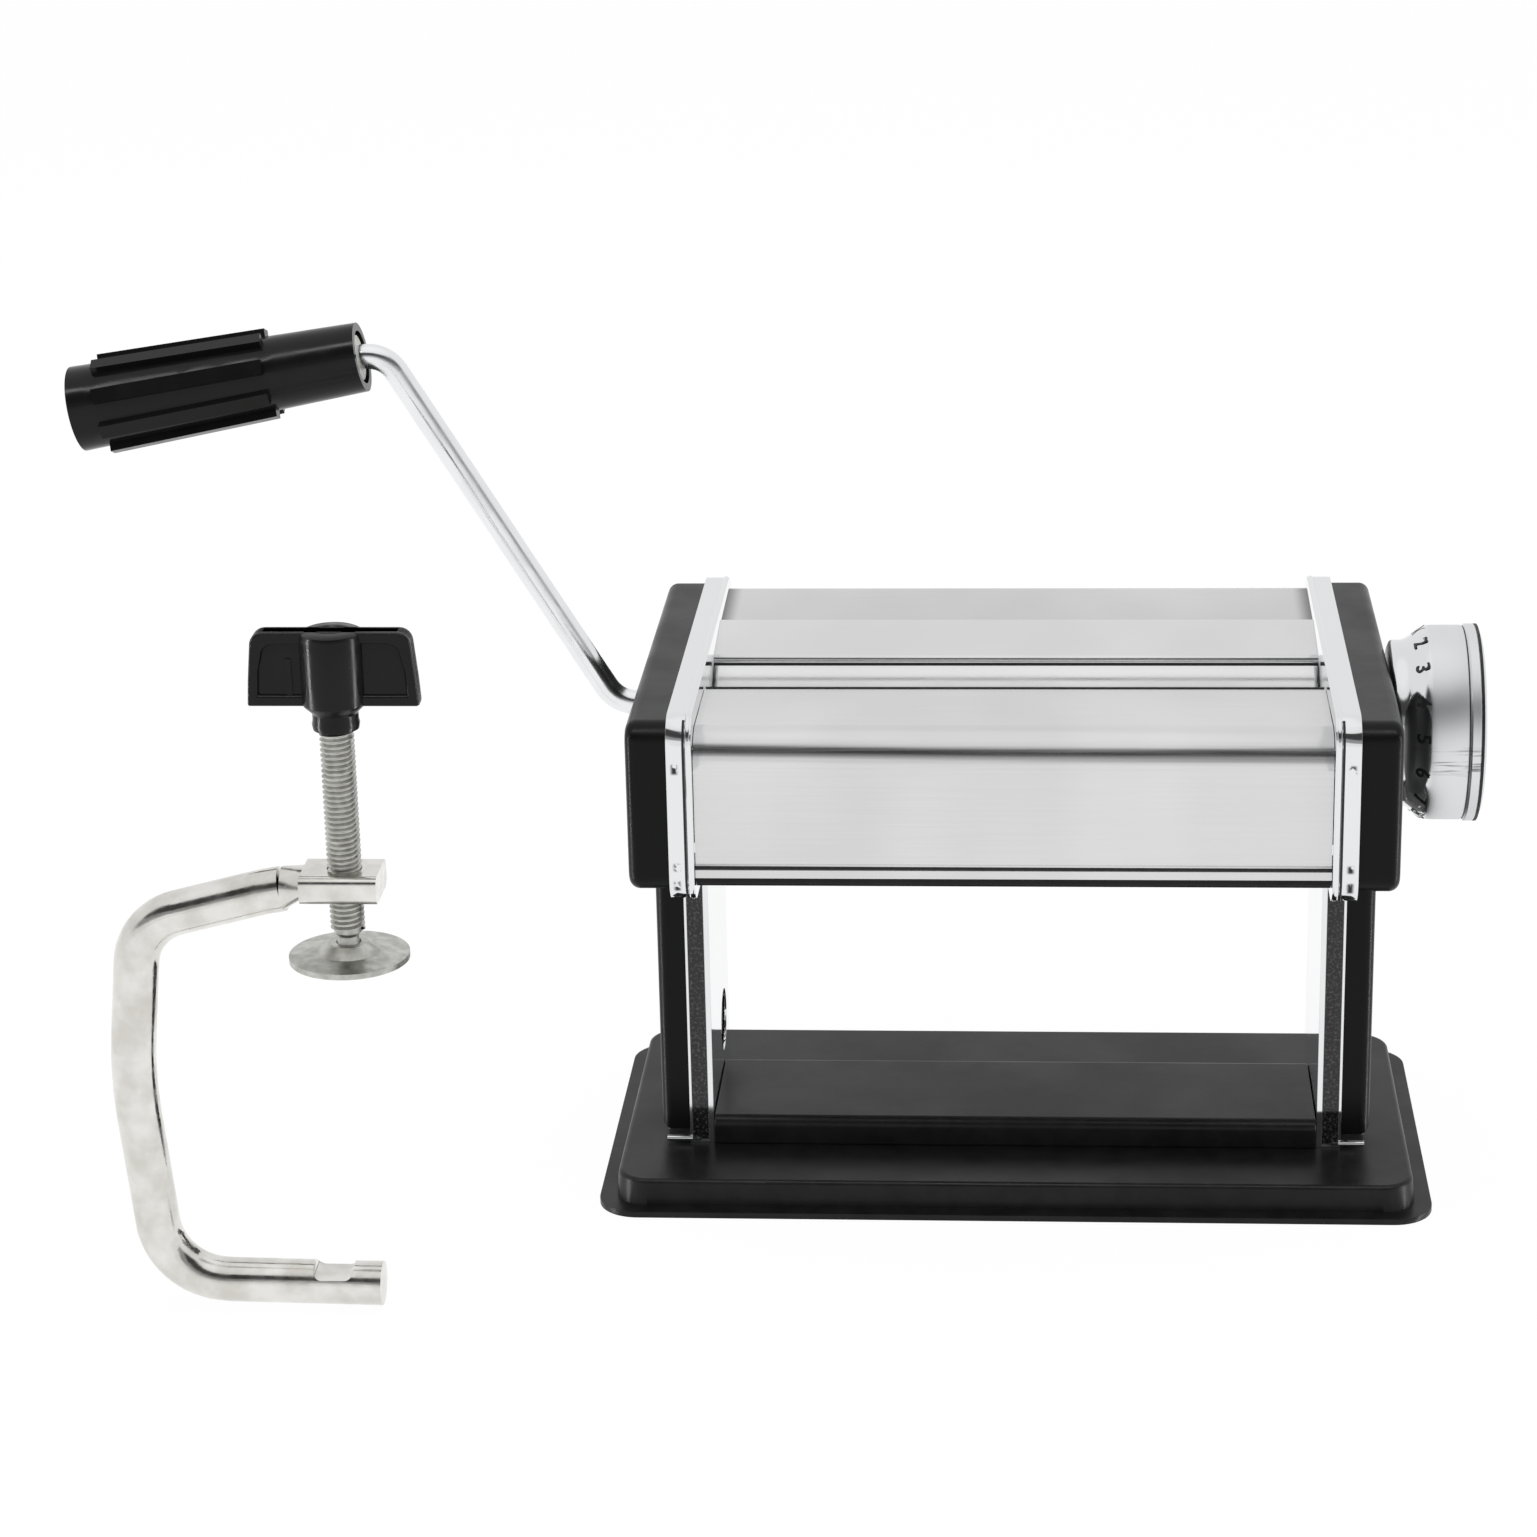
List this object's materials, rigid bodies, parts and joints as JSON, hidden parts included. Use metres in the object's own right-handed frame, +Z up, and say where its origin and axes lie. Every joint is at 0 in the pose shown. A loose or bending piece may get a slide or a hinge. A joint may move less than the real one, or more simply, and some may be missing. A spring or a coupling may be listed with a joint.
{
  "type": "hand cranked pasta sheet roller",
  "caption": "Table-top pasta sheet roller: geared rollers between end plates on a pressed base, with a gap dial, a crank with a free grip, and a loose screw clamp.",
  "frame": {"origin": "on the table, in the middle of the underside of the base's front rim", "axes": "+X along the rollers towards the dial, +Y from the front to the back, +Z up"},
  "size_m": [0.3484, 0.1817, 0.209],
  "materials": {
    "black_paint": "satin black paint",
    "bright_steel": "polished, plated",
    "brushed_sheet": "fine brushed grain",
    "roller_steel": "ground",
    "black_plastic": "fine satin texture",
    "grip_plastic": "gloss",
    "nylon": "natural nylon",
    "zinc": "zinc plated",
    "gear_steel": "plain, oiled",
    "dial_plate": "spun"
  },
  "bodies": {
    "stand": {"base_plate": "black_paint", "cross_channel": "black_paint", "left_end_plate": "bright_steel", "right_end_plate": "bright_steel", "left_end_cover": "black_plastic", "right_end_cover": "black_plastic", "cover_screws": "zinc", "base_screws": "zinc", "front_cover": "brushed_sheet", "top_guide": "brushed_sheet", "rear_cover": "brushed_sheet", "front_lower_rail": "black_paint", "rear_lower_rail": "black_paint", "front_tie_rod": "zinc", "rear_tie_rod": "zinc", "front_scraper_rod": "zinc", "rear_scraper_rod": "zinc", "front_scraper": "nylon", "rear_scraper": "nylon", "tie_rod_nuts": "zinc", "left_rear_bush": "nylon", "right_rear_bush": "nylon", "clamp_frame": "zinc"},
    "drive": {"rear_roller": "roller_steel", "rear_roller_gear": "gear_steel", "gear_clip": "zinc", "crank_rod": "bright_steel", "crank_collar": "nylon"},
    "grip": {"crank_grip": "grip_plastic", "grip_plug": "grip_plastic"},
    "dial": {"dial_cam": "gear_steel", "dial_knob": "bright_steel", "dial_ring": "bright_steel", "dial_face": "dial_plate", "dial_screw": "zinc"},
    "carriage": {"left_front_block": "nylon", "right_front_block": "nylon", "adjuster_bar": "zinc"},
    "front_roller": {"front_roller": "roller_steel", "front_roller_gear": "gear_steel"},
    "clamp_foot": {"clamp_pad": "zinc"},
    "clamp_spindle": {"clamp_screw": "zinc", "clamp_knob": "black_plastic"}
  },
  "joints": [
    {"name": "crank_turn", "type": "hinge", "parent": "stand", "child": "drive", "pos_m": [-0.09, 0.066, 0.111], "axis": [1, 0, 0], "continuous": true},
    {"name": "grip_spin", "type": "hinge", "parent": "drive", "child": "grip", "pos_m": [-0.19449, 0.066, 0.19448], "axis": [-0.9845, 0, -0.1754], "continuous": true},
    {"name": "dial_turn", "type": "hinge", "parent": "stand", "child": "dial", "pos_m": [0.1, 0.051, 0.111], "axis": [-1, 0, 0], "range_deg": [0, 180]},
    {"name": "roller_gap", "type": "slide", "parent": "stand", "child": "carriage", "axis": [0, 1, 0], "range_m": [0, 0.0024]},
    {"name": "front_roller_spin", "type": "hinge", "parent": "carriage", "child": "front_roller", "pos_m": [0, 0.0392, 0.111], "axis": [1, 0, 0], "continuous": true},
    {"name": "clamp_pad_slide", "type": "slide", "parent": "stand", "child": "clamp_foot", "axis": [0, 0, -1], "range_m": [-0.0075, 0.0325]},
    {"name": "clamp_screw_turn", "type": "hinge", "parent": "clamp_foot", "child": "clamp_spindle", "pos_m": [-0.1505, -0.05, 0.1], "axis": [0, 0, -1], "range_deg": [-2160, 9360]}
  ],
  "couplings": [
    {"joint": "dial_turn", "follows": "roller_gap", "rad_per_m": 1308.9},
    {"joint": "front_roller_spin", "follows": "crank_turn", "ratio": -1},
    {"joint": "clamp_screw_turn", "follows": "clamp_pad_slide", "rad_per_m": 5026.5}
  ]
}
